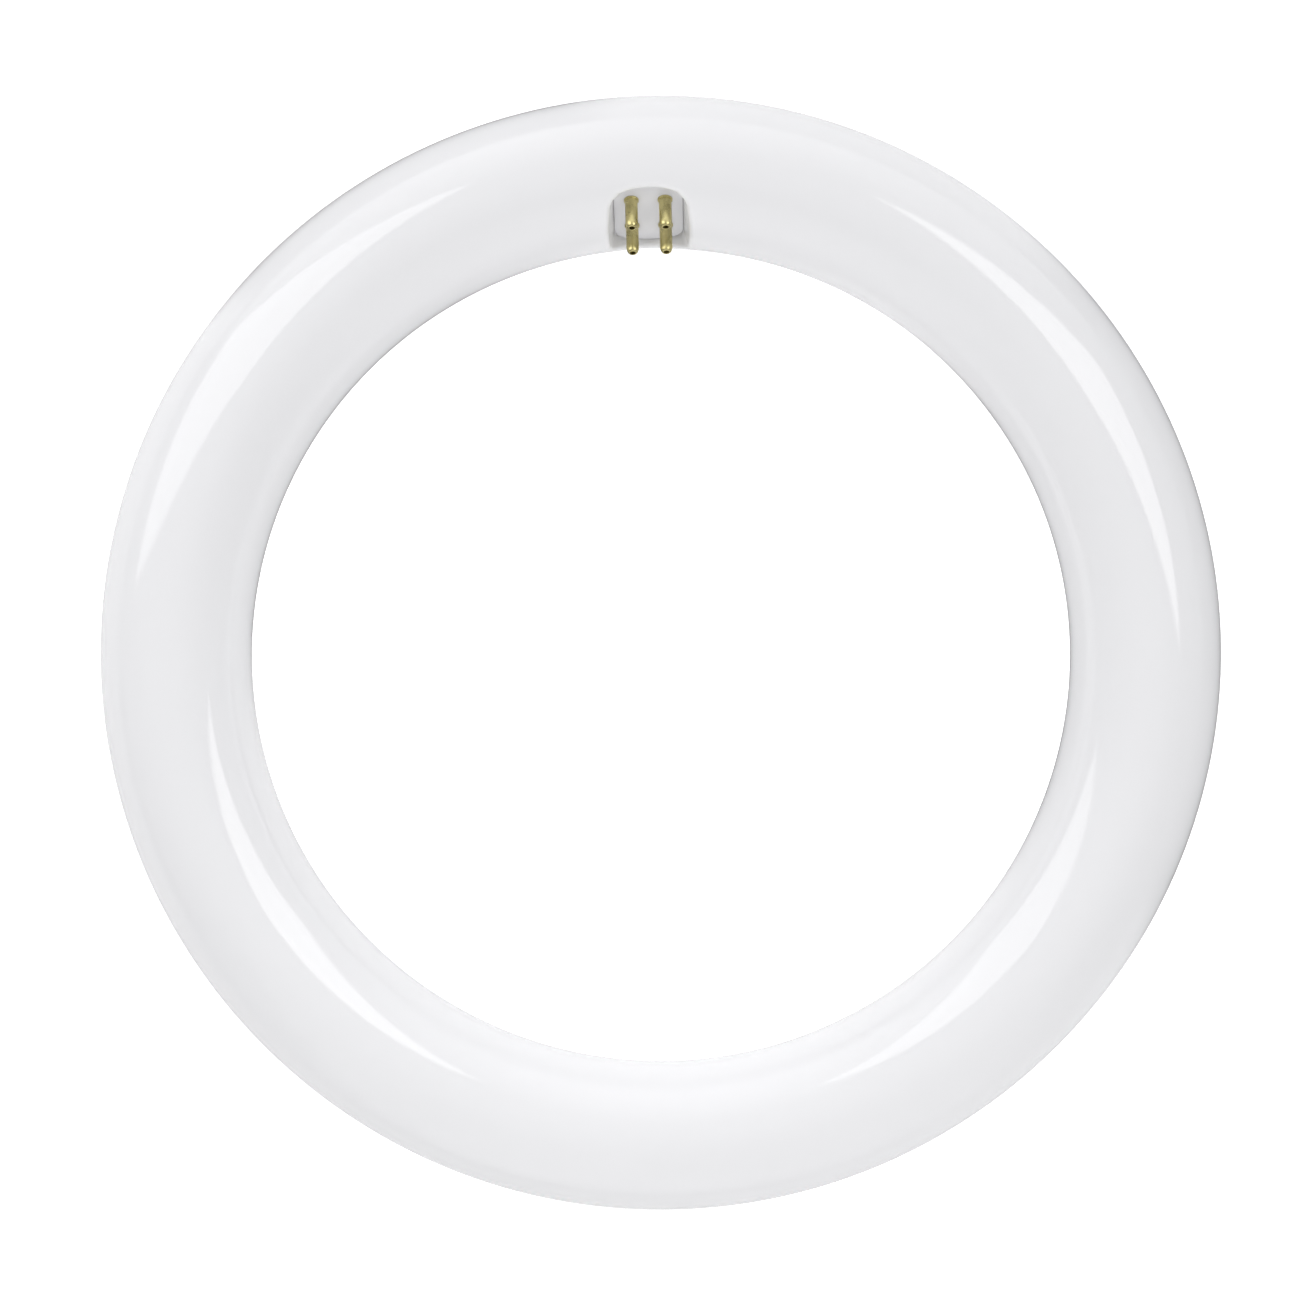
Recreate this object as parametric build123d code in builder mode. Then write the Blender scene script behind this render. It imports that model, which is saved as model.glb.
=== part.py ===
"""Circular tube lamp: a sealed opal ring with a recessed base and four contact pins.

The lamp lies flat. Z is the ring's axis and Z = 0 is the surface that it lies on. The base is at +Y,
and its pins lean inwards and upwards, the way that the fitting's lampholder is pushed on.
"""

from math import asin, cos, pi, radians, sin, sqrt, tan
import os

from build123d import *

# Ring, in mm
ring_outer_diameter = 216.0
tube_diameter = 29.0
base_sector = 40.0  # degrees of the ring that are shaped together with the recess

# Recess for the lampholder, its outline measured at the face that the pins stand on
base_tilt = 54.0  # degrees from the ring's axis to the pins
recess_width = 13.1  # along the tube
recess_height = 17.2  # across the tube, at the middle of the bowed ends
recess_end_radius = 18.0
recess_corner_radius = 2.5
recess_depth = 5.2  # from the tube's crown down to the face
recess_draft = 12.0  # degrees that each wall opens outwards
recess_mouth_radius = 1.0
recess_mouth_share = 0.85  # most of the wall's height, at the ends, that the mouth's rounding takes

# Pin base, a moulded plate glued into the foot of the recess
base_thickness = 3.2
base_clearance = 0.1
base_edge_chamfer = 0.35

# Contact pins, brass tubes with a collar that seats on the face and a thinner tail in the base
pin_spacing_along = 6.35
pin_spacing_across = 7.92
pin_diameter = 2.4
pin_length = 6.5  # from the face to the tip
pin_tip_chamfer = 0.5
pin_bore = 1.1
pin_collar_diameter = 2.8
pin_collar_height = 0.4
pin_tail_diameter = 2.0
pin_hole_clearance = 0.02

# Heights above the tube's centre line, along the pins
tube_radius = tube_diameter / 2
ring_radius = ring_outer_diameter / 2 - tube_radius
face_height = tube_radius - recess_depth
seat_height = face_height - base_thickness

# The mouth's edge is sharpest, and its wall lowest, in the middle of the recess's bowed ends
draft = radians(recess_draft)
plain_end_wall = sqrt(tube_radius**2 - (recess_height / 2) ** 2) - face_height
mouth_half_height = recess_height / 2 + plain_end_wall * tan(draft)
end_slope = asin(mouth_half_height / tube_radius)
end_wall = (tube_radius * cos(end_slope) - face_height) / cos(draft)
mouth_limit = recess_mouth_share * end_wall * tan((pi / 2 - end_slope + draft) / 2)

# The base's own frame: x runs along the tube and z along the pins
tilt = radians(base_tilt)
pin_direction = Vector(0, -sin(tilt), cos(tilt))
base_plane = Plane(origin=(0, ring_radius, tube_radius), x_dir=(1, 0, 0), z_dir=pin_direction)
face_plane = base_plane.offset(face_height)


def tube_section(angle):
    """The tube's round section, on the plane through the ring's axis at an angle from +Y."""
    turn = radians(angle)
    outwards = (-sin(turn), cos(turn), 0)
    along = (cos(turn), sin(turn), 0)
    with BuildSketch(Plane(origin=(0, 0, 0), x_dir=outwards, z_dir=along)) as section:
        with Locations((ring_radius, tube_radius)):
            Circle(tube_radius)
    return section.sketch


def recess_outline(inset):
    """A rectangle with bowed ends and round corners, drawn an inset inside the recess's walls."""
    half_width = recess_width / 2 - inset
    half_height = recess_height / 2 - inset
    end_radius = recess_end_radius - inset
    side_height = half_height - end_radius + sqrt(end_radius**2 - half_width**2)
    with BuildSketch() as outline:
        with BuildLine():
            Line((half_width, -side_height), (half_width, side_height))
            ThreePointArc((half_width, side_height), (0, half_height), (-half_width, side_height))
            Line((-half_width, side_height), (-half_width, -side_height))
            ThreePointArc((-half_width, -side_height), (0, -half_height), (half_width, -side_height))
        make_face()
        fillet(outline.vertices(), recess_corner_radius - inset)
    return outline.sketch


os.makedirs("parts", exist_ok=True)

# Sealed ring: the sector with the recess first, then the rest of the way round
with BuildPart() as opal_ring:
    revolve(tube_section(-base_sector / 2), axis=Axis.Z, revolution_arc=base_sector)
    with BuildSketch(base_plane.offset(seat_height)):
        add(recess_outline(0))
    extrude(amount=base_thickness, mode=Mode.SUBTRACT)
    with BuildSketch(face_plane):
        add(recess_outline(0))
    extrude(amount=tube_radius, taper=-recess_draft, mode=Mode.SUBTRACT)
    mouth = opal_ring.faces().filter_by(GeomType.TORUS).edges().filter_by(GeomType.BSPLINE)
    fillet(mouth, min(recess_mouth_radius, mouth_limit))
    revolve(tube_section(base_sector / 2), axis=Axis.Z, revolution_arc=360 - base_sector)

opal_ring.part.label = "opal_ring"
export_step(opal_ring.part, "parts/opal_ring.step")

# Pin base with its four holes
with BuildPart() as pin_base:
    with BuildSketch(base_plane.offset(seat_height)):
        add(recess_outline(base_clearance))
    extrude(amount=base_thickness)
    face = pin_base.faces().sort_by(Axis((0, 0, 0), pin_direction))[-1]
    chamfer(face.edges(), base_edge_chamfer)
    with Locations(face_plane):
        with GridLocations(pin_spacing_along, pin_spacing_across, 2, 2):
            Hole(pin_tail_diameter / 2 + pin_hole_clearance)

pin_base.part.label = "pin_base"
export_step(pin_base.part, "parts/pin_base.step")

# Contact pins, numbered along the lower row and then along the upper row
pin_radius = pin_diameter / 2
bore_radius = pin_bore / 2
collar_radius = pin_collar_diameter / 2
tail_radius = pin_tail_diameter / 2
pin_places = GridLocations(pin_spacing_along, pin_spacing_across, 2, 2).local_locations
pin_places.sort(key=lambda place: (place.position.Y, place.position.X))
for number, place in enumerate(pin_places, start=1):
    foot = face_plane.from_local_coords(place.position)
    profile_plane = Plane(origin=foot, x_dir=(1, 0, 0), z_dir=Vector(1, 0, 0).cross(pin_direction))
    with BuildPart() as contact_pin:
        with BuildSketch(profile_plane) as profile:
            with BuildLine():
                Polyline(
                    (bore_radius, -base_thickness),
                    (tail_radius, -base_thickness),
                    (tail_radius, 0),
                    (collar_radius, 0),
                    (collar_radius, pin_collar_height),
                    (pin_radius, pin_collar_height),
                    (pin_radius, pin_length),
                    (bore_radius, pin_length),
                    close=True,
                )
            make_face()
            tip_corner = profile.vertices().group_by(Axis.Y)[-1].sort_by(Axis.X)[-1]
            chamfer(tip_corner, pin_tip_chamfer)
        revolve(axis=Axis(foot, pin_direction))
    contact_pin.part.label = f"contact_pin_{number}"
    export_step(contact_pin.part, f"parts/contact_pin_{number}.step")
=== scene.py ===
"""Circular tube lamp: a glossy opal ring with a recessed base and four brass contact pins, on a pale floor."""

from math import atan2, cos, hypot, pi, radians, sin, sqrt, tan

import bmesh
import bpy
from bpy.props import FloatProperty, FloatVectorProperty, IntProperty, PointerProperty
from mathutils import Matrix, Vector


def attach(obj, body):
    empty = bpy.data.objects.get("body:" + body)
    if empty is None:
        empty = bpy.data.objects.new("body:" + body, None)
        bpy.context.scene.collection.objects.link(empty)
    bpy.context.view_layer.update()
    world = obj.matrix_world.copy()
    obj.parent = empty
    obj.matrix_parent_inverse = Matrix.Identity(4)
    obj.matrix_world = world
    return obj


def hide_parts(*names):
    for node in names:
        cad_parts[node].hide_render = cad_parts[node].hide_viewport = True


bl_info = {
    "name": "Circular Tube Lamp",
    "version": (1, 0, 0),
    "blender": (4, 5, 0),
    "location": "3D View > Sidebar > Tube Lamp",
    "description": "Makes a circular tube lamp with a recessed four-pin base, and a small studio round it",
    "category": "Add Mesh",
}

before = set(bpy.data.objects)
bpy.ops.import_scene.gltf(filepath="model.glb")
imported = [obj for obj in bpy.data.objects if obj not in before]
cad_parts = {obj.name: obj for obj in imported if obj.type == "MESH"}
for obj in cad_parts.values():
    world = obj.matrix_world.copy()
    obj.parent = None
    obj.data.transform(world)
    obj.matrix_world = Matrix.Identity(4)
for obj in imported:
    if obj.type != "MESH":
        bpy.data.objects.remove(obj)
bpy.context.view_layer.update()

# Opening in the tube's faces that the recess takes the place of, and the steps of the meshes
OPENING_ROUND = 10.5  # half its length, in steps round the ring, so that it takes ten faces to each side
OPENING_ACROSS = 19.0  # half its height, in steps across the tube
RIM_SIDE_BAND = 0.0022  # the rim's vertices this near to its corner's x are on its right side
LOOP_LAYER = "place_in_loop"  # numbers the vertices of the loop that is extruded
HALVINGS = 40  # to find where a wall meets the tube
LEAD_IN_STEPS = 6  # from the opening's rim to the mouth
MOUTH_STEPS = 7
PLATE_SIDE_STEPS = 24
PLATE_END_STEPS = 16
PLATE_EDGE_STEPS = 4
PIN_TURN_STEPS = 48
COLLAR_STEPS = 4
TIP_STEPS = 8
BORE_RIM_STEPS = 4
JOIN_DISTANCE = 0.000002

# Shares of a pin's own sizes
COLLAR_ROUNDING = 0.3  # of the collar's height
BORE_RIM_ROUNDING = 0.6  # of the tip's flat, from the rounding in to the bore
SOLDER_MIDDLE = 0.9  # of the bore's depth, because the solder stands higher in its middle

# Soft lights: name, place, half width and half height in metres, the property with the brightness, and whether
# gloss mirrors the light
SOFT_LIGHTS = (
    ("left_softbox", (-0.406, 0.256, 0.405), (-0.055, -0.161, 0.07), (0.139, -0.02, 0.245), "left_box", True),
    ("right_softbox", (0.454, 0.199, 0.637), (-0.052, 0.182, -0.114), (0.137, -0.119, -0.19), "right_box", True),
    ("front_panel", (0.0, -0.75, 0.62), (0.62, 0, 0), (0, -0.25, -0.42), "front_panel", True),
    ("front_fill", (0, -0.3, 0.45), (0.2, 0, 0), (0, -0.12, -0.1), "front_fill", False),
)

# Camera, with its place in metres and its shift in widths of the picture
CAMERA_PLACE = (0, 0.0795, 0.712)
CAMERA_ROLL = radians(1.6)
CAMERA_SHIFT = (-0.00854, 0.00846)
CAMERA_CLIP = (0.01, 20)
SENSOR_WIDTH = 36  # mm

# Floor, with reaches from the ring's axis in metres
GLOW_REACH = (0.07, 0.11)  # over which the light table's glow changes from inside to outside
# The wedges mark painted shade: in them, the floor's colour that the lamp's gloss sees is painted darker, so that the
# ring's edges mirror dark there
TUBE_REACH = (0.09, 0.1)  # over which a wedge for one side of the tube ends
WEDGE_CUT = 0.3  # takes a wedge off the other side of the tube
WEDGE_SOFTNESS = 0.02
RIGHT_WEDGE = (6, 1.3)  # azimuth in degrees, and how narrow the wedge is
INNER_LEFT_WEDGE = (146, 1.3)
OUTER_LEFT_WEDGE = (117, 2.5)

# Room, by the Y of the direction
ROOM_SLOPE = (0.3, -0.9)
ROOM_ENDS = (0.5, 0.95)
ROOM_COLOUR = (0.985, 0.985, 1.0, 1)


class RingSizes(bpy.types.PropertyGroup):
    ring_radius: FloatProperty(
        name="Ring radius", description="From the ring's axis to the tube's centre line",
        default=0.0935, subtype="DISTANCE", unit="LENGTH",
    )
    tube_radius: FloatProperty(
        name="Tube radius", description="Radius of the tube's round section",
        default=0.01445, subtype="DISTANCE", unit="LENGTH",
    )
    centre_height: FloatProperty(
        name="Centre height", description="Height of the tube's centre line above the floor",
        default=0.0145, subtype="DISTANCE", unit="LENGTH",
    )
    steps_round: IntProperty(
        name="Steps round", description="Faces round the ring, a multiple of four", default=480, min=120,
    )
    steps_across: IntProperty(
        name="Steps across", description="Faces round the tube's section", default=128, min=32,
    )
    plastic_colour: FloatVectorProperty(
        name="Opal plastic", description="Colour of the opal plastic",
        subtype="COLOR", size=4, min=0, max=1, default=(0.715, 0.715, 0.724, 1),
    )
    plastic_roughness: FloatProperty(
        name="Gloss", description="Roughness of the opal plastic's surface", default=0.08, min=0, max=1,
    )


class RecessSizes(bpy.types.PropertyGroup):
    tilt: FloatProperty(
        name="Tilt", description="Angle from the ring's axis to the pins",
        default=radians(54), subtype="ANGLE", unit="ROTATION",
    )
    width: FloatProperty(
        name="Width", description="Width along the tube, at the face", default=0.0131, unit="LENGTH",
    )
    height: FloatProperty(
        name="Height", description="Height across the tube, at the face", default=0.0172, unit="LENGTH",
    )
    end_radius: FloatProperty(
        name="End radius", description="Radius of the bowed ends", default=0.018, unit="LENGTH",
    )
    corner_radius: FloatProperty(
        name="Corner radius", description="Radius of the outline's corners", default=0.0025, unit="LENGTH",
    )
    face_height: FloatProperty(
        name="Face height", description="Height of the face above the tube's centre line",
        default=0.0093, unit="LENGTH",
    )
    draft: FloatProperty(
        name="Draft", description="Angle that each wall opens outwards",
        default=radians(12), subtype="ANGLE", unit="ROTATION",
    )
    mouth_radius: FloatProperty(
        name="Mouth radius", description="Radius of the rolled mouth", default=0.001, unit="LENGTH",
    )


class BaseSizes(bpy.types.PropertyGroup):
    thickness: FloatProperty(
        name="Thickness", description="Thickness of the base's plate", default=0.0032, unit="LENGTH",
    )
    clearance: FloatProperty(
        name="Clearance", description="Room round the plate in its recess", default=0.00001, unit="LENGTH",
    )
    edge: FloatProperty(
        name="Edge", description="Width of the plate's rounded edge", default=0.0002, unit="LENGTH",
    )
    plastic_colour: FloatVectorProperty(
        name="Base plastic", description="Colour of the base's plastic",
        subtype="COLOR", size=4, min=0, max=1, default=(0.66, 0.66, 0.68, 1),
    )


class PinSizes(bpy.types.PropertyGroup):
    spacing_along: FloatProperty(
        name="Spacing along", description="Pin spacing along the tube", default=0.00635, unit="LENGTH",
    )
    spacing_across: FloatProperty(
        name="Spacing across", description="Pin spacing across the tube", default=0.00792, unit="LENGTH",
    )
    radius: FloatProperty(
        name="Pin radius", description="Radius of a pin's shank", default=0.0012, unit="LENGTH",
    )
    length: FloatProperty(
        name="Pin length", description="From the face to the tip", default=0.0065, unit="LENGTH",
    )
    tip_width: FloatProperty(
        name="Tip width", description="How far the rounding of the tip reaches in", default=0.0006, unit="LENGTH",
    )
    tip_height: FloatProperty(
        name="Tip height", description="Length of the rounding of the tip, along the pin",
        default=0.0014, unit="LENGTH",
    )
    bore_radius: FloatProperty(
        name="Bore radius", description="Radius of the bore in the tip", default=0.00055, unit="LENGTH",
    )
    bore_depth: FloatProperty(
        name="Bore depth", description="From the tip down to the solder in the bore", default=0.003, unit="LENGTH",
    )
    collar_radius: FloatProperty(
        name="Collar radius", description="Radius of a pin's collar", default=0.0014, unit="LENGTH",
    )
    collar_height: FloatProperty(
        name="Collar height", description="Height of a pin's collar above the face", default=0.0004, unit="LENGTH",
    )
    brass_colour: FloatVectorProperty(
        name="Brass", description="Colour of the pins' brass",
        subtype="COLOR", size=4, min=0, max=1, default=(0.57, 0.505, 0.235, 1),
    )


class StudioSizes(bpy.types.PropertyGroup):
    floor_size: FloatProperty(
        name="Floor", description="Length of the floor's side", default=6.0, unit="LENGTH",
    )
    floor_colour: FloatVectorProperty(
        name="Floor colour", description="Colour of the floor",
        subtype="COLOR", size=4, min=0, max=1, default=(0.9, 0.9, 0.9, 1),
    )
    glow_inside: FloatProperty(
        name="Glow, inside", description="Light from the light table inside the ring", default=0.5,
    )
    glow_outside: FloatProperty(
        name="Glow, outside", description="Light from the light table outside the ring", default=0.33,
    )
    # The floor's colour as the lamp's gloss sees it: paler at the floor's ends, and painted darker at its sides as a
    # painted shade that the ring's edges mirror
    bounce_ends: FloatProperty(
        name="Bounce, ends", description="Share of light that the lamp mirrors from the floor's ends", default=0.72,
    )
    painted_shade_sides: FloatProperty(
        name="Bounce, sides", description="Share of light that the lamp mirrors from the floor's sides", default=0.04,
    )
    room_far: FloatProperty(
        name="Room, far", description="Brightness of the room beyond the base", default=0.5,
    )
    room_near: FloatProperty(
        name="Room, near", description="Brightness of the room on the side opposite the base", default=0.05,
    )
    room_ends: FloatProperty(
        name="Room, ends", description="Light that the room's two ends add", default=1.09,
    )
    front_panel: FloatProperty(
        name="Front panel", description="Brightness of the wide weak light opposite the base", default=0.28,
    )
    front_fill: FloatProperty(
        name="Front fill", description="Brightness of the fill light that no gloss mirrors", default=2.1,
    )
    left_box: FloatProperty(
        name="Left softbox", description="Brightness of the left softbox", default=2.2,
    )
    right_box: FloatProperty(
        name="Right softbox", description="Brightness of the right softbox", default=3.0,
    )
    lens: FloatProperty(
        name="Lens", description="Focal length in millimetres", default=100.7,
    )


def sizes():
    return bpy.context.scene.tube_lamp_ring, bpy.context.scene.tube_lamp_recess


def base_to_world(x, across, height):
    """A place in the base's own frame: x along the tube, across it, and height above the tube's centre line."""
    ring, recess = sizes()
    lean, rise = sin(recess.tilt), cos(recess.tilt)
    y = ring.ring_radius - height * lean + across * rise
    return Vector((x, y, ring.centre_height + height * rise + across * lean))


def tube_centre(point):
    """The nearest point of the tube's centre line."""
    ring, _ = sizes()
    reach = hypot(point.x, point.y)
    return Vector((point.x * ring.ring_radius / reach, point.y * ring.ring_radius / reach, ring.centre_height))


def onto_tube(point):
    """The point moved straight out or in to the tube's surface."""
    ring, _ = sizes()
    centre = tube_centre(point)
    return centre + (point - centre).normalized() * ring.tube_radius


def recess_outline(inset, side_steps, end_steps):
    """Places and outward directions on the recess's outline, corner by corner, anticlockwise from the lower right."""
    _, recess = sizes()
    half_width, half_height = recess.width / 2 - inset, recess.height / 2 - inset
    end_radius, corner = recess.end_radius - inset, recess.corner_radius - inset
    corner_x = half_width - corner
    corner_y = half_height - end_radius + sqrt((end_radius - corner) ** 2 - corner_x**2)
    corner_turn = atan2(corner_y - half_height + end_radius, corner_x)
    half_corner = corner * corner_turn / 2
    end_turn = pi / 2 - corner_turn
    side_half = corner_y + corner * corner_turn / 2

    def on_side(run):
        if run <= corner_y:
            return (half_width, run), (1.0, 0.0)
        turn = (run - corner_y) / corner
        return (corner_x + corner * cos(turn), corner_y + corner * sin(turn)), (cos(turn), sin(turn))

    def on_end(run):
        if run <= end_radius * end_turn:
            turn = run / end_radius
            return (end_radius * sin(turn), half_height - end_radius + end_radius * cos(turn)), (sin(turn), cos(turn))
        turn = corner_turn - (run - end_radius * end_turn) / corner
        return (corner_x + corner * cos(turn), corner_y + corner * sin(turn)), (cos(turn), sin(turn))

    end_half = end_radius * end_turn + half_corner
    points = []
    for step in range(side_steps):
        run = side_half * (2 * step / side_steps - 1)
        (x, y), (nx, ny) = on_side(abs(run))
        flip = 1 if run >= 0 else -1
        points.append(((x, y * flip), (nx, ny * flip)))
    for step in range(end_steps):
        run = end_half * (1 - 2 * step / end_steps)
        (x, y), (nx, ny) = on_end(abs(run))
        flip = 1 if run >= 0 else -1
        points.append(((x * flip, y), (nx * flip, ny)))
    return points + [((-x, -y), (-nx, -ny)) for (x, y), (nx, ny) in points]


def mouth_profile(place, outwards):
    """Points from the tube's surface over the rolled mouth and down the wall, at one place of the outline."""
    ring, recess = sizes()
    foot = base_to_world(*place, recess.face_height)
    origin = base_to_world(0, 0, 0)
    up = (base_to_world(0, 0, 1) - origin).normalized()
    out = base_to_world(*outwards, 0) - origin
    wall = (up + out * tan(recess.draft)).normalized()
    low, high = 0.0, ring.tube_radius
    for _ in range(HALVINGS):
        middle = (low + high) / 2
        probe = foot + wall * middle
        if (probe - tube_centre(probe)).length < ring.tube_radius:
            low = middle
        else:
            high = middle
    corner = foot + wall * low
    normal = (corner - tube_centre(corner)).normalized()
    along = (out - normal * out.dot(normal)).normalized()
    half_angle = (-wall).angle(along) / 2
    reach = recess.mouth_radius / tan(half_angle)
    start, end = onto_tube(corner + along * reach), corner - wall * reach
    weight = sin(half_angle)
    profile = []
    for step in range(MOUTH_STEPS + 1):
        t = step / MOUTH_STEPS
        a, b, c = (1 - t) ** 2, 2 * t * (1 - t) * weight, t**2
        profile.append((start * a + corner * b + end * c) / (a + b + c))
    return profile + [end.lerp(foot, 0.5), foot]


def quarter_turn(steps, first=0):
    """The angles of a quarter turn in even steps, from the given step on."""
    return [step / steps * pi / 2 for step in range(first, steps + 1)]


def start_afresh():
    """Goes to object mode with nothing selected, so that the next operator acts on its own piece only."""
    if bpy.context.object and bpy.context.object.mode != "OBJECT":
        bpy.ops.object.mode_set(mode="OBJECT")
    bpy.ops.object.select_all(action="DESELECT")


def finish_piece(piece, name, node, material, angle):
    """Names a piece, smooths its edges up to an angle in degrees, gives it its material and ties it to the frame."""
    start_afresh()
    bpy.context.view_layer.objects.active = piece
    piece.select_set(True)
    bpy.ops.object.transform_apply(location=True, rotation=True, scale=True)
    bpy.ops.object.shade_smooth_by_angle(angle=radians(angle))
    piece.name = name
    piece.data.name = name
    piece.data.materials.clear()
    piece.data.materials.append(material)
    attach(piece, "root")
    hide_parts(node)
    start_afresh()
    return piece


def loop_order(mesh, layer):
    """The selected vertices in the order of their numbers."""
    return sorted((v for v in mesh.verts if v.select), key=lambda v: v[layer])


def extrude_loop(piece, places):
    """Extrudes the selected loop of edges and puts its numbered vertices in their places."""
    bpy.ops.mesh.extrude_edges_move()
    mesh = bmesh.from_edit_mesh(piece.data)
    layer = mesh.verts.layers.int[LOOP_LAYER]
    for vertex, place in zip(loop_order(mesh, layer), places):
        vertex.co = place
    bmesh.update_edit_mesh(piece.data)


def rim_in_order(mesh):
    """The selected rim's vertices, anticlockwise from its lower right corner, and the steps on its right side."""
    origin = base_to_world(0, 0, 0)
    across = base_to_world(0, 1, 0) - origin
    rim = [v for v in mesh.verts if v.select]
    flat = {v: ((v.co - origin).x, (v.co - origin).dot(across)) for v in rim}

    def neighbours(vertex):
        return [edge.other_vert(vertex) for edge in vertex.link_edges if edge.is_boundary]

    first = min(rim, key=lambda v: flat[v][1] - flat[v][0])
    order = [first, max(neighbours(first), key=lambda v: flat[v][1])]
    while True:
        ahead = [v for v in neighbours(order[-1]) if v not in order[-2:]]
        if not ahead or ahead[0] is first:
            break
        order.append(ahead[0])
    side = [v for v in order if abs(flat[v][0] - flat[first][0]) < RIM_SIDE_BAND and flat[v][0] > 0]
    return order, len(side) - 1


def math_node(nodes, links, kind, *values):
    """The result of a sum whose values are numbers or other nodes' outputs."""
    node = nodes.new("ShaderNodeMath")
    node.operation = kind
    for socket, value in zip(node.inputs, values):
        if isinstance(value, (int, float)):
            socket.default_value = value
        else:
            links.new(value, socket)
    return node.outputs[0]


def range_node(nodes, links, source, low, high, new_low, new_high):
    """The source's value, changed in proportion from one range to another and kept within it."""
    remap = nodes.new("ShaderNodeMapRange")
    remap.inputs["From Min"].default_value = low
    remap.inputs["From Max"].default_value = high
    remap.inputs["To Min"].default_value = new_low
    remap.inputs["To Max"].default_value = new_high
    links.new(source, remap.inputs["Value"])
    return remap.outputs["Result"]


def surface_wear_group():
    """A node group: uneven gloss, a slight drift of colour and a fine relief, by place on the object."""
    name = "surface_wear"
    if name in bpy.data.node_groups:
        return bpy.data.node_groups[name]
    group = bpy.data.node_groups.new(name, "ShaderNodeTree")
    face = group.interface
    for label, kind, default in (
        ("Colour", "NodeSocketColor", (0.8, 0.8, 0.8, 1)),
        ("Drift", "NodeSocketFloat", 0.02),
        ("Roughness", "NodeSocketFloat", 0.2),
        ("Unevenness", "NodeSocketFloat", 0.05),
        ("Broad scale", "NodeSocketFloat", 40.0),
        ("Fine scale", "NodeSocketFloat", 2000.0),
        ("Broad relief", "NodeSocketFloat", 0.5),
    ):
        socket = face.new_socket(label, in_out="INPUT", socket_type=kind)
        socket.default_value = default
    for label, kind in (("Colour", "NodeSocketColor"), ("Roughness", "NodeSocketFloat"), ("Height", "NodeSocketFloat")):
        face.new_socket(label, in_out="OUTPUT", socket_type=kind)
    nodes, links = group.nodes, group.links
    given, made = nodes.new("NodeGroupInput"), nodes.new("NodeGroupOutput")
    place = nodes.new("ShaderNodeTexCoord").outputs["Object"]
    broad = nodes.new("ShaderNodeTexNoise")
    broad.inputs["Detail"].default_value = 2
    fine = nodes.new("ShaderNodeTexNoise")
    fine.inputs["Detail"].default_value = 4
    for noise, scale in ((broad, "Broad scale"), (fine, "Fine scale")):
        links.new(place, noise.inputs["Vector"])
        links.new(given.outputs[scale], noise.inputs["Scale"])

    def combine(kind, first, second):
        return math_node(nodes, links, kind, first, second)

    centred = combine("SUBTRACT", broad.outputs["Fac"], 0.5)
    fine_centred = combine("SUBTRACT", fine.outputs["Fac"], 0.5)
    shade = combine("ADD", 1.0, combine("MULTIPLY", centred, given.outputs["Drift"]))
    tint = nodes.new("ShaderNodeVectorMath")
    tint.operation = "SCALE"
    links.new(given.outputs["Colour"], tint.inputs[0])
    links.new(shade, tint.inputs["Scale"])
    links.new(tint.outputs[0], made.inputs["Colour"])
    both = combine("ADD", centred, combine("MULTIPLY", fine_centred, 0.5))
    unevenness = combine("MULTIPLY", both, given.outputs["Unevenness"])
    links.new(combine("ADD", given.outputs["Roughness"], unevenness), made.inputs["Roughness"])
    broad_relief = combine("MULTIPLY", broad.outputs["Fac"], given.outputs["Broad relief"])
    links.new(combine("ADD", fine.outputs["Fac"], broad_relief), made.inputs["Height"])
    return group


def make_material(name, colour, wear, relief_strength, relief_distance, constants):
    """A material whose colour, gloss and relief come from the wear group, with the rest set on the shader itself."""
    material = bpy.data.materials.new(name)
    material.use_nodes = True
    nodes, links = material.node_tree.nodes, material.node_tree.links
    shader = nodes["Principled BSDF"]
    effect = nodes.new("ShaderNodeGroup")
    effect.node_tree = surface_wear_group()
    effect.inputs["Colour"].default_value = colour
    for label, value in wear.items():
        effect.inputs[label].default_value = value
    links.new(effect.outputs["Colour"], shader.inputs["Base Color"])
    links.new(effect.outputs["Roughness"], shader.inputs["Roughness"])
    bump = nodes.new("ShaderNodeBump")
    bump.inputs["Strength"].default_value = relief_strength
    bump.inputs["Distance"].default_value = relief_distance
    links.new(effect.outputs["Height"], bump.inputs["Height"])
    links.new(bump.outputs["Normal"], shader.inputs["Normal"])
    for label, value in constants.items():
        shader.inputs[label].default_value = value
    return material


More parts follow.
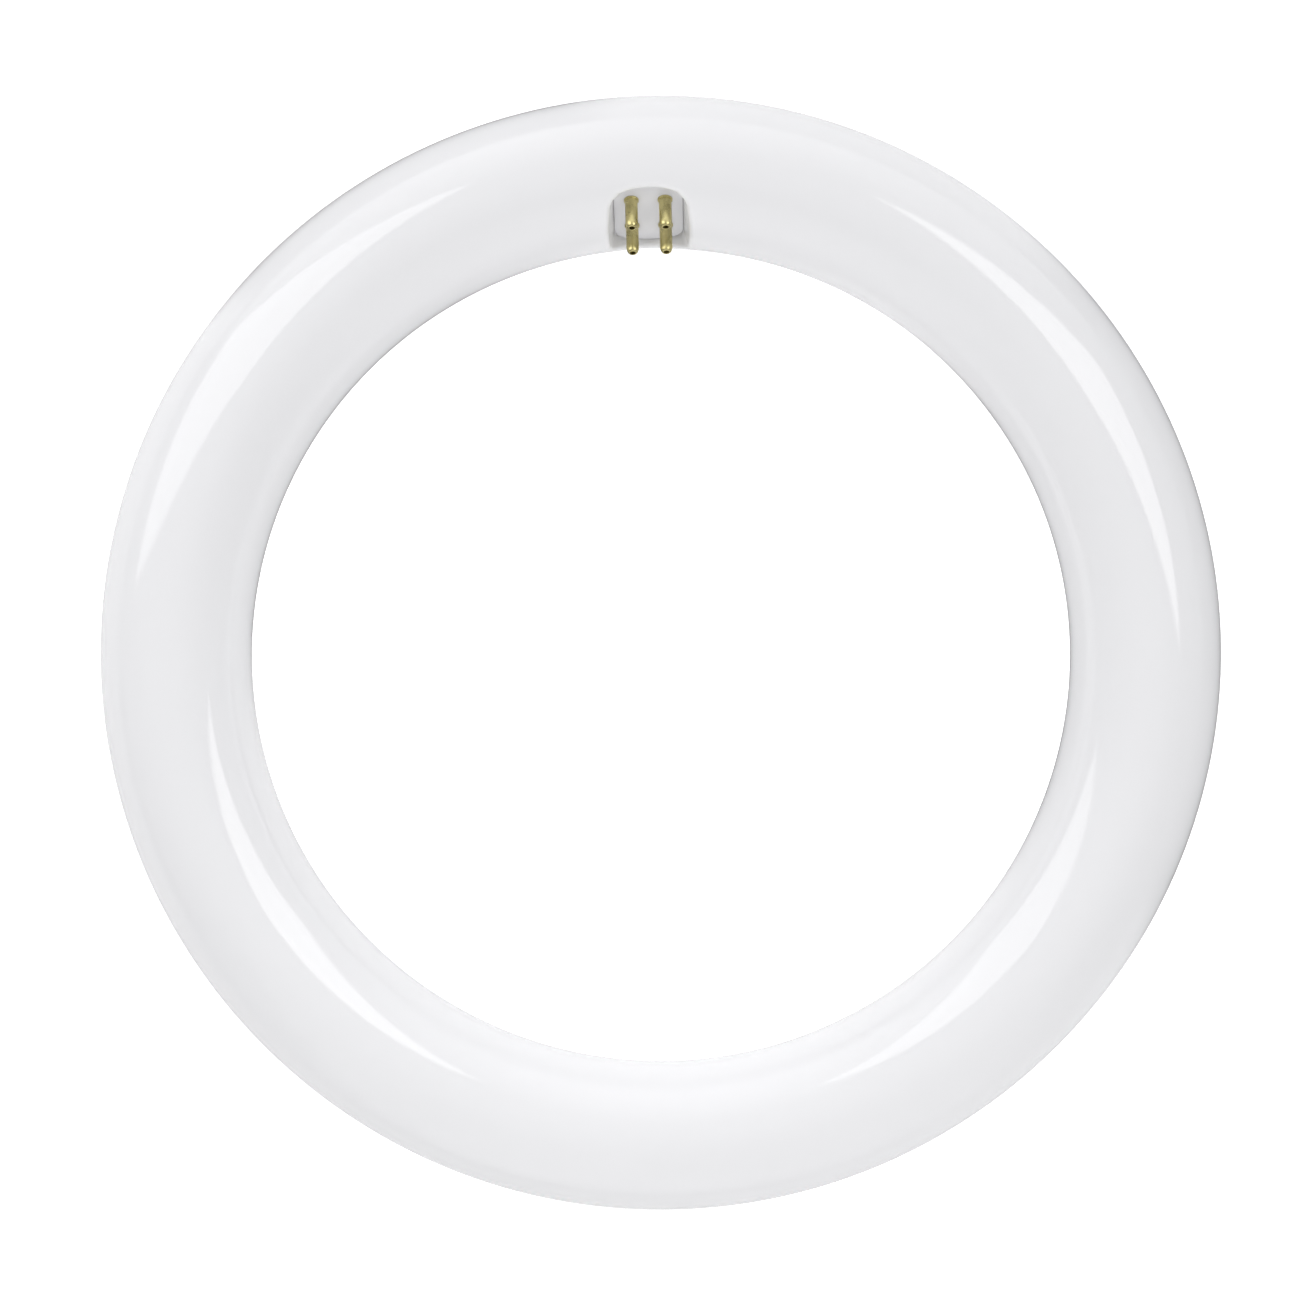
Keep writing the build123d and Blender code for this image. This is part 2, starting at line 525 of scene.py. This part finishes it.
class TUBELAMP_OT_opal_ring(bpy.types.Operator):
    """Make the opal ring with its recess and rolled mouth"""

    bl_idname = "tube_lamp.opal_ring"
    bl_label = "Opal Ring"

    def execute(self, context):
        ring, recess = sizes()
        start_afresh()
        bpy.ops.mesh.primitive_torus_add(
            major_segments=ring.steps_round, minor_segments=ring.steps_across,
            major_radius=ring.ring_radius, minor_radius=ring.tube_radius, location=(0, 0, ring.centre_height),
        )
        piece = context.object
        bpy.ops.object.transform_apply(location=True, rotation=False, scale=False)

        # Open the tube's wall for the recess
        bpy.ops.object.mode_set(mode="EDIT")
        bpy.ops.mesh.select_mode(type="FACE")
        bpy.ops.mesh.select_all(action="DESELECT")
        mesh = bmesh.from_edit_mesh(piece.data)
        mesh.verts.layers.int.new(LOOP_LAYER)
        half_turn_round = OPENING_ROUND * 2 * pi / ring.steps_round
        half_turn_across = OPENING_ACROSS * 2 * pi / ring.steps_across
        lean = pi / 2 + recess.tilt
        for face in mesh.faces:
            middle = face.calc_center_median()
            sideways = atan2(middle.x, middle.y)
            round_tube = atan2(middle.z - ring.centre_height, hypot(middle.x, middle.y) - ring.ring_radius)
            turn = (round_tube - lean + pi) % (2 * pi) - pi
            face.select = abs(sideways) < half_turn_round and abs(turn) < half_turn_across
        mesh.select_flush_mode()
        bmesh.update_edit_mesh(piece.data)
        bpy.ops.mesh.delete(type="FACE")

        # Number the rim's vertices, so that each stays on its own place of the outline
        bpy.ops.mesh.select_mode(type="EDGE")
        mesh = bmesh.from_edit_mesh(piece.data)
        for edge in mesh.edges:
            edge.select = edge.is_boundary
        mesh.select_flush_mode()
        order, side_steps = rim_in_order(mesh)
        end_steps = len(order) // 2 - side_steps
        numbers = mesh.verts.layers.int[LOOP_LAYER]
        for number, vertex in enumerate(order):
            vertex[numbers] = number
        rim_places = [v.co.copy() for v in order]
        bmesh.update_edit_mesh(piece.data)

        # Lead the tube's surface to the mouth, then go over it and down the walls to the plate's seat
        outline = recess_outline(0, side_steps, end_steps)
        profiles = [mouth_profile(place, outwards) for place, outwards in outline]
        for step in range(1, LEAD_IN_STEPS):
            extrude_loop(piece, [
                onto_tube(rim_place.lerp(profile[0], step / LEAD_IN_STEPS))
                for rim_place, profile in zip(rim_places, profiles)
            ])
        for level in range(len(profiles[0])):
            extrude_loop(piece, [profile[level] for profile in profiles])
        seat_height = recess.face_height - context.scene.tube_lamp_base.thickness
        extrude_loop(piece, [base_to_world(*place, seat_height) for place, _ in outline])
        bpy.ops.mesh.edge_face_add()
        bpy.ops.mesh.select_all(action="SELECT")
        bpy.ops.mesh.normals_make_consistent(inside=False)
        bpy.ops.object.mode_set(mode="OBJECT")
        piece.data.attributes.remove(piece.data.attributes[LOOP_LAYER])

        plastic = make_material(
            "opal_plastic", ring.plastic_colour,
            {"Drift": 0.015, "Roughness": ring.plastic_roughness, "Unevenness": 0.05, "Broad scale": 45,
             "Fine scale": 1800, "Broad relief": 1.5},
            relief_strength=0.06, relief_distance=0.00012,
            constants={"IOR": 1.5, "Subsurface Weight": 0.4, "Subsurface Scale": 0.004,
                       "Subsurface Radius": (1, 1, 1)},
        )
        finish_piece(piece, "opal_tube", "opal_ring", plastic, angle=50)
        return {"FINISHED"}


class TUBELAMP_OT_pin_base(bpy.types.Operator):
    """Make the moulded plate at the foot of the recess"""

    bl_idname = "tube_lamp.pin_base"
    bl_label = "Pin Base"

    def execute(self, context):
        _, recess = sizes()
        base = context.scene.tube_lamp_base
        start_afresh()
        outline = recess_outline(base.clearance, PLATE_SIDE_STEPS, PLATE_END_STEPS)
        bpy.ops.mesh.primitive_circle_add(vertices=len(outline), radius=recess.width / 2, fill_type="NGON")
        piece = context.object
        bpy.ops.object.mode_set(mode="EDIT")
        mesh = bmesh.from_edit_mesh(piece.data)
        first = outline[0][0]
        turn = atan2(first[1], first[0])
        by_angle = sorted(mesh.verts, key=lambda v: (atan2(v.co.y, v.co.x) - turn) % (2 * pi))
        for vertex, (place, _) in zip(by_angle, outline):
            vertex.co = base_to_world(*place, recess.face_height - base.thickness)
        bmesh.update_edit_mesh(piece.data)
        up = base_to_world(0, 0, base.thickness) - base_to_world(0, 0, 0)
        bpy.ops.mesh.select_all(action="SELECT")
        bpy.ops.mesh.extrude_region_move(TRANSFORM_OT_translate={"value": up})
        bpy.ops.mesh.bevel(offset=base.edge, segments=PLATE_EDGE_STEPS, affect="EDGES")
        bpy.ops.mesh.select_all(action="SELECT")
        bpy.ops.mesh.normals_make_consistent(inside=False)
        bpy.ops.object.mode_set(mode="OBJECT")
        plastic = make_material(
            "base_plastic", base.plastic_colour,
            {"Drift": 0.06, "Roughness": 0.42, "Unevenness": 0.15, "Broad scale": 250, "Fine scale": 9000,
             "Broad relief": 0.4},
            relief_strength=0.25, relief_distance=0.00004, constants={"IOR": 1.49},
        )
        finish_piece(piece, "base_plate", "pin_base", plastic, angle=35)
        return {"FINISHED"}


class TUBELAMP_OT_contact_pins(bpy.types.Operator):
    """Make the four contact pins"""

    bl_idname = "tube_lamp.contact_pins"
    bl_label = "Contact Pins"

    def execute(self, context):
        _, recess = sizes()
        pin = context.scene.tube_lamp_pin
        start_afresh()

        # One pin, turned about its own axis from half of its section
        corner = pin.radius - pin.tip_width
        section = [(0.0, 0.0), (pin.collar_radius, 0.0)]
        lip = pin.collar_height * COLLAR_ROUNDING
        for turn in quarter_turn(COLLAR_STEPS):
            section.append((pin.collar_radius - lip * (1 - cos(turn)), pin.collar_height - lip * (1 - sin(turn))))
        section.append((pin.radius, pin.collar_height))
        for turn in quarter_turn(TIP_STEPS):
            section.append((corner + pin.tip_width * cos(turn), pin.length - pin.tip_height * (1 - sin(turn))))
        rim = (corner - pin.bore_radius) * BORE_RIM_ROUNDING
        for turn in quarter_turn(BORE_RIM_STEPS, first=1):
            section.append((pin.bore_radius + rim * (1 - sin(turn)), pin.length - rim * (1 - cos(turn))))
        section.append((pin.bore_radius, pin.length - pin.bore_depth))
        section.append((0.0, pin.length - pin.bore_depth * SOLDER_MIDDLE))
        bpy.ops.mesh.primitive_circle_add(vertices=len(section), radius=pin.radius)
        first = context.object
        bpy.ops.object.mode_set(mode="EDIT")
        mesh = bmesh.from_edit_mesh(first.data)
        for vertex, (reach, height) in zip(sorted(mesh.verts, key=lambda v: v.index), section):
            vertex.co = (reach, 0, height)
        closing = [e for e in mesh.edges if {v.index for v in e.verts} == {0, len(section) - 1}]
        bmesh.ops.delete(mesh, geom=closing, context="EDGES")
        bmesh.update_edit_mesh(first.data)
        bpy.ops.mesh.select_all(action="SELECT")
        bpy.ops.mesh.spin(steps=PIN_TURN_STEPS, angle=2 * pi, center=(0, 0, 0), axis=(0, 0, 1))
        bpy.ops.mesh.select_all(action="SELECT")
        bpy.ops.mesh.remove_doubles(threshold=JOIN_DISTANCE)
        bpy.ops.mesh.normals_make_consistent(inside=False)
        bpy.ops.object.mode_set(mode="OBJECT")

        brass = make_material(
            "pin_brass", pin.brass_colour,
            {"Drift": 0.5, "Roughness": 0.3, "Unevenness": 0.3, "Broad scale": 500, "Fine scale": 6000,
             "Broad relief": 0.6},
            relief_strength=0.2, relief_distance=0.00003, constants={"Metallic": 1},
        )
        lean = Matrix.Rotation(recess.tilt, 4, "X")
        corners = [(side, row) for row in (-1, 1) for side in (-1, 1)]
        for number, (side, row) in enumerate(corners, start=1):
            piece = first.copy()
            piece.data = first.data.copy()
            context.collection.objects.link(piece)
            foot = base_to_world(side * pin.spacing_along / 2, row * pin.spacing_across / 2, recess.face_height)
            piece.matrix_world = Matrix.Translation(foot) @ lean
            finish_piece(piece, f"brass_pin_{number}", f"contact_pin_{number}", brass, angle=35)
        bpy.data.objects.remove(first)
        return {"FINISHED"}


class TUBELAMP_OT_studio(bpy.types.Operator):
    """Make the floor, the soft lights and the camera"""

    bl_idname = "tube_lamp.studio"
    bl_label = "Studio"

    def execute(self, context):
        studio = context.scene.tube_lamp_studio
        ring, _ = sizes()
        start_afresh()
        bpy.ops.mesh.primitive_plane_add(size=studio.floor_size)
        floor = context.object
        floor.name = "floor"
        floor.data.materials.append(self.floor_paper(studio))

        centre = Vector((0, 0, ring.centre_height))
        for name, place, half_width, half_height, brightness, mirrored in SOFT_LIGHTS:
            light = self.soft_light(context, name, place, half_width, half_height, getattr(studio, brightness))
            light.visible_glossy = mirrored
        context.scene.world = self.soft_surround(studio)

        lens = bpy.data.cameras.new("photo_camera")
        lens.lens = studio.lens
        lens.sensor_width = SENSOR_WIDTH
        lens.clip_start, lens.clip_end = CAMERA_CLIP
        lens.shift_x, lens.shift_y = CAMERA_SHIFT
        camera = bpy.data.objects.new("photo_camera", lens)
        context.collection.objects.link(camera)
        place = Vector(CAMERA_PLACE)
        back = (place - centre).normalized()
        right = Vector((sin(CAMERA_ROLL), cos(CAMERA_ROLL), 0)).cross(back).normalized()
        camera.matrix_world = Matrix.LocRotScale(
            place, Matrix((right, back.cross(right), back)).transposed().to_quaternion(), None)
        context.scene.camera = camera
        context.scene.view_settings.view_transform = "Standard"
        return {"FINISHED"}

    def floor_paper(self, studio):
        """Pale paper on a light table. Its colour as the lamp's gloss sees it is painted darker in wedges to the lamp's
        left and right, a painted shade that the ring's edges mirror.
        """
        paper = make_material(
            "pale_floor", studio.floor_colour,
            {"Drift": 0.0, "Roughness": 0.9, "Unevenness": 0.02, "Broad scale": 3, "Fine scale": 400,
             "Broad relief": 0},
            relief_strength=0.05, relief_distance=0.0001,
            constants={"IOR": 1.2, "Specular IOR Level": 0.1, "Emission Color": (1, 1, 1, 1)},
        )
        nodes, links = paper.node_tree.nodes, paper.node_tree.links
        place = nodes.new("ShaderNodeTexCoord").outputs["Object"]
        reach = nodes.new("ShaderNodeVectorMath")
        reach.operation = "LENGTH"
        links.new(place, reach.inputs[0])
        glow = range_node(
            nodes, links, reach.outputs["Value"], *GLOW_REACH, studio.glow_inside, studio.glow_outside)
        links.new(glow, nodes["Principled BSDF"].inputs["Emission Strength"])

        def along(direction):
            product = nodes.new("ShaderNodeVectorMath")
            product.operation = "DOT_PRODUCT"
            links.new(place, product.inputs[0])
            product.inputs[1].default_value = direction
            return product.outputs["Value"]

        def wedge(azimuth, sharpness):
            x, y = cos(radians(azimuth)), sin(radians(azimuth))
            aside = math_node(nodes, links, "ABSOLUTE", along((-y, x, 0)))
            return math_node(
                nodes, links, "SUBTRACT", along((x, y, 0)), math_node(nodes, links, "MULTIPLY", aside, sharpness))

        # Painted shade: wedges beside the tube where the floor's colour, seen by gloss only, is painted darker
        outside = range_node(nodes, links, reach.outputs["Value"], *TUBE_REACH, 0, WEDGE_CUT)
        inside = range_node(nodes, links, reach.outputs["Value"], *TUBE_REACH, WEDGE_CUT, 0)
        inner_left = math_node(nodes, links, "SUBTRACT", wedge(*INNER_LEFT_WEDGE), outside)
        outer_left = math_node(nodes, links, "SUBTRACT", wedge(*OUTER_LEFT_WEDGE), inside)
        left = math_node(nodes, links, "MAXIMUM", inner_left, outer_left)
        painted_shade_wedges = math_node(nodes, links, "MAXIMUM", wedge(*RIGHT_WEDGE), left)
        painted_shade_floor = nodes.new("ShaderNodeBsdfDiffuse")
        shade = range_node(
            nodes, links, painted_shade_wedges, -WEDGE_SOFTNESS, WEDGE_SOFTNESS, studio.bounce_ends, studio.painted_shade_sides)
        links.new(shade, painted_shade_floor.inputs["Color"])
        # Gloss sees the painted shade in place of the lit paper
        kind = nodes.new("ShaderNodeLightPath")
        mix = nodes.new("ShaderNodeMixShader")
        links.new(kind.outputs["Is Glossy Ray"], mix.inputs[0])
        links.new(nodes["Principled BSDF"].outputs[0], mix.inputs[1])
        links.new(painted_shade_floor.outputs[0], mix.inputs[2])
        links.new(mix.outputs[0], nodes["Material Output"].inputs["Surface"])
        return paper

    def soft_surround(self, studio):
        """A pale room, lightest at its two ends and darker on the side opposite the base, but white to the camera."""
        world = bpy.data.worlds.new("soft_surround")
        world.use_nodes = True
        nodes, links = world.node_tree.nodes, world.node_tree.links
        parts = nodes.new("ShaderNodeSeparateXYZ")
        links.new(nodes.new("ShaderNodeTexCoord").outputs["Generated"], parts.inputs[0])
        slope = range_node(nodes, links, parts.outputs["Y"], *ROOM_SLOPE, studio.room_far, studio.room_near)
        lengthways = math_node(nodes, links, "ABSOLUTE", parts.outputs["Y"])
        ends = range_node(nodes, links, lengthways, *ROOM_ENDS, 0, studio.room_ends)
        lit = math_node(nodes, links, "ADD", slope, ends)
        seen = nodes.new("ShaderNodeLightPath").outputs["Is Camera Ray"]
        links.new(math_node(nodes, links, "MAXIMUM", lit, seen), nodes["Background"].inputs["Strength"])
        nodes["Background"].inputs["Color"].default_value = ROOM_COLOUR
        return world

    def soft_light(self, context, name, place, half_width, half_height, radiance):
        """A rectangular soft light that faces the lamp, with its radiance given."""
        half_width, half_height = Vector(half_width), Vector(half_height)
        across = half_width.normalized()
        upwards = (half_height - half_height.dot(across) * across).normalized()
        back = across.cross(upwards)
        if back.dot(Vector(place)) < 0:
            across, back = -across, -back
        light = bpy.data.lights.new(name, "AREA")
        light.shape = "RECTANGLE"
        light.size, light.size_y = half_width.length * 2, half_height.length * 2
        light.energy = radiance * light.size * light.size_y * pi
        lamp = bpy.data.objects.new(name, light)
        context.collection.objects.link(lamp)
        lamp.matrix_world = Matrix.LocRotScale(
            Vector(place), Matrix((across, upwards, back)).transposed().to_quaternion(), None)
        return lamp


class TUBELAMP_PT_panel(bpy.types.Panel):
    bl_idname = "TUBELAMP_PT_panel"
    bl_label = "Tube Lamp"
    bl_space_type = "VIEW_3D"
    bl_region_type = "UI"
    bl_category = "Tube Lamp"

    def draw(self, context):
        for group in ("ring", "recess", "base", "pin", "studio"):
            box = self.layout.box()
            values = getattr(context.scene, f"tube_lamp_{group}")
            for name in values.__annotations__:
                box.prop(values, name)
        for kind in OPERATORS:
            self.layout.operator(kind.bl_idname)


OPERATORS = (TUBELAMP_OT_opal_ring, TUBELAMP_OT_pin_base, TUBELAMP_OT_contact_pins, TUBELAMP_OT_studio)
GROUPS = {"ring": RingSizes, "recess": RecessSizes, "base": BaseSizes, "pin": PinSizes, "studio": StudioSizes}


def register():
    for kind in (*GROUPS.values(), *OPERATORS, TUBELAMP_PT_panel):
        bpy.utils.register_class(kind)
    for name, kind in GROUPS.items():
        setattr(bpy.types.Scene, f"tube_lamp_{name}", PointerProperty(type=kind))


def unregister():
    for name in GROUPS:
        delattr(bpy.types.Scene, f"tube_lamp_{name}")
    for kind in reversed((*GROUPS.values(), *OPERATORS, TUBELAMP_PT_panel)):
        bpy.utils.unregister_class(kind)


def main():
    register()
    bpy.ops.tube_lamp.opal_ring()
    bpy.ops.tube_lamp.pin_base()
    bpy.ops.tube_lamp.contact_pins()
    bpy.ops.tube_lamp.studio()


if __name__ == "__main__":
    main()
